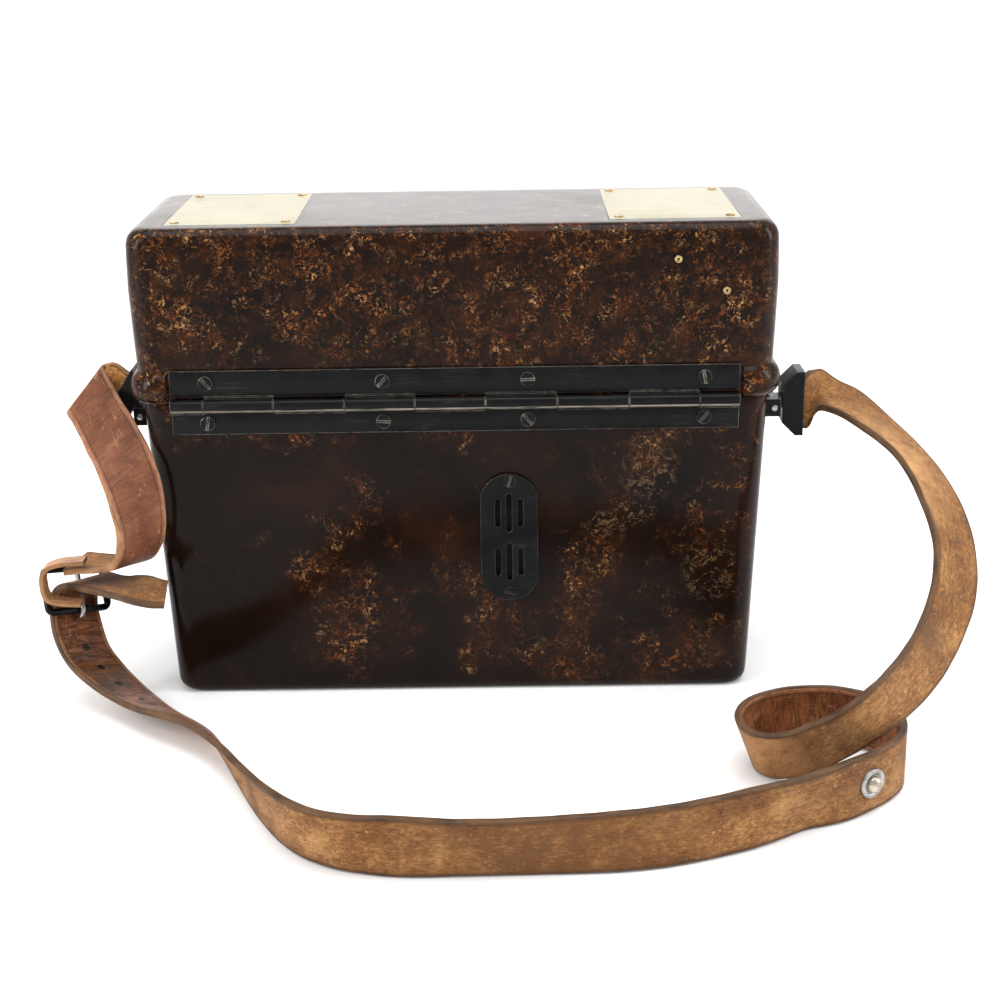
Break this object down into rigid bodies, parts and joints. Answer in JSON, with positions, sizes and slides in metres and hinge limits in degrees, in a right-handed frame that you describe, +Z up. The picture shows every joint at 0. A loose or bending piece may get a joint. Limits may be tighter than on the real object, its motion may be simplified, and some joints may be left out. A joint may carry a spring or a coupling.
{
  "type": "field telephone",
  "caption": "Portable field telephone in a moulded two-part case with a hinged lid, leather shoulder strap, handset, hand generator and bell.",
  "frame": {"origin": "centre of the case's flat underside", "axes": "+X to the right of the hinged face, -Y out of the hinged face, +Z up from the underside to the lid"},
  "size_m": [0.4072, 0.2712, 0.2101],
  "materials": {
    "bakelite": "gloss",
    "ivory": "satin",
    "black_steel": "worn satin",
    "bright_steel": "satin",
    "brass": "tarnished",
    "leather": "worn",
    "black_plastic": "satin",
    "copper_winding": "wound wire",
    "magnet_iron": "satin",
    "card": "matte"
  },
  "bodies": {
    "case": {"case_shell": "bakelite", "hinge_leaf_case": "black_steel", "hinge_pin": "bright_steel", "hinge_screw_case_1": "black_steel", "hinge_screw_case_2": "black_steel", "hinge_screw_case_3": "black_steel", "hinge_screw_case_4": "black_steel", "bell_grille": "black_steel", "grille_screw_1": "black_steel", "grille_screw_2": "black_steel", "side_plate_right": "black_steel", "side_plate_left": "black_steel", "shackle_pin_right": "bright_steel", "shackle_pin_left": "bright_steel", "strap_long": "leather", "strap_short": "leather", "buckle_frame": "black_steel", "strap_keeper": "leather", "strap_stud": "brass", "instrument_panel": "black_plastic", "battery": "card", "induction_coil": "copper_winding", "magneto_frame": "brass", "magneto_magnets": "magnet_iron", "crank_bush": "brass", "ringer_frame": "bright_steel", "gong_1": "brass", "gong_2": "brass", "ringer_coil_1": "copper_winding", "ringer_coil_2": "copper_winding", "terminal_1": "brass", "terminal_2": "brass"},
    "lid": {"lid_shell": "bakelite", "hinge_leaf_lid": "black_steel", "hinge_screw_lid_1": "black_steel", "hinge_screw_lid_2": "black_steel", "hinge_screw_lid_3": "black_steel", "hinge_screw_lid_4": "black_steel", "top_plate_left": "ivory", "top_plate_right": "ivory", "lid_eyelet_1": "brass", "lid_eyelet_2": "brass", "latch_hinge": "black_steel"},
    "latch": {"latch_clip": "black_steel"},
    "right_shackle": {"shackle_right": "black_steel"},
    "left_shackle": {"shackle_left": "black_steel"},
    "prong": {"buckle_prong": "bright_steel"},
    "handset_body": {"handset": "black_plastic", "earpiece_cap": "black_plastic", "mouthpiece_cap": "black_plastic"},
    "talk_key": {"talk_bar": "black_plastic"},
    "cover": {"battery_cover": "black_plastic"},
    "crank_body": {"crank": "bright_steel"},
    "knob": {"crank_knob": "black_plastic"},
    "button": {"test_button": "black_plastic"},
    "nut_1": {"terminal_nut_1": "brass"},
    "nut_2": {"terminal_nut_2": "brass"},
    "drive": {"drive_gear": "brass"},
    "rotor": {"armature": "bright_steel"},
    "striker": {"clapper": "brass"}
  },
  "joints": [
    {"name": "lid_hinge", "type": "hinge", "parent": "case", "child": "lid", "pos_m": [0, -0.0534, 0.136], "axis": [1, 0, 0], "range_deg": [0, 100]},
    {"name": "latch_swing", "type": "hinge", "parent": "lid", "child": "latch", "pos_m": [0, 0.0548, 0.156], "axis": [1, 0, 0], "range_deg": [0, 150]},
    {"name": "shackle_right_swing", "type": "hinge", "parent": "case", "child": "right_shackle", "pos_m": [0.1395, -0.012, 0.1235], "axis": [0, 1, 0], "range_deg": [-34, 45], "deforming": ["strap_long"]},
    {"name": "shackle_left_swing", "type": "hinge", "parent": "case", "child": "left_shackle", "pos_m": [-0.1395, -0.012, 0.1235], "axis": [0, 1, 0], "range_deg": [-70, 0], "deforming": ["strap_short"]},
    {"name": "prong_swing", "type": "hinge", "parent": "case", "child": "prong", "pos_m": [-0.16931, -0.04624, 0.04114], "axis": [0.6208, 0.7498, -0.2289], "range_deg": [0, 8]},
    {"name": "handset_lift", "type": "slide", "parent": "case", "child": "handset_body", "axis": [0, 0, 1], "range_m": [0, 0.009]},
    {"name": "talk_press", "type": "slide", "parent": "handset_body", "child": "talk_key", "axis": [0, 0, -1], "range_m": [0, 0.0015], "stiffness_N_per_m": 1500},
    {"name": "cover_lift", "type": "slide", "parent": "case", "child": "cover", "axis": [0, 0, 1], "range_m": [0, 0.008]},
    {"name": "crank_lift", "type": "slide", "parent": "case", "child": "crank_body", "axis": [0, 0, 1], "range_m": [0, 0.03]},
    {"name": "knob_spin", "type": "hinge", "parent": "crank_body", "child": "knob", "pos_m": [0.086, 0.033, 0.141], "axis": [0, 0, 1], "continuous": true},
    {"name": "button_press", "type": "slide", "parent": "case", "child": "button", "axis": [0, 0, -1], "range_m": [0, 0.002], "stiffness_N_per_m": 400},
    {"name": "nut_1_spin", "type": "hinge", "parent": "case", "child": "nut_1", "pos_m": [-0.046, 0.033, 0.1365], "axis": [0, 0, 1], "continuous": true},
    {"name": "nut_2_spin", "type": "hinge", "parent": "case", "child": "nut_2", "pos_m": [-0.026, 0.033, 0.1365], "axis": [0, 0, 1], "continuous": true},
    {"name": "drive_spin", "type": "hinge", "parent": "case", "child": "drive", "pos_m": [0.11, -0.004, 0.066], "axis": [1, 0, 0], "continuous": true},
    {"name": "rotor_spin", "type": "hinge", "parent": "case", "child": "rotor", "pos_m": [0.086, -0.004, 0.0296], "axis": [1, 0, 0], "continuous": true},
    {"name": "clapper_swing", "type": "hinge", "parent": "case", "child": "striker", "pos_m": [0.052, -0.0296, 0.074], "axis": [0, 1, 0], "range_deg": [-2.3, 2.3], "stiffness_Nm_per_rad": 0.05}
  ],
  "couplings": [
    {"joint": "rotor_spin", "follows": "drive_spin", "ratio": -4}
  ]
}
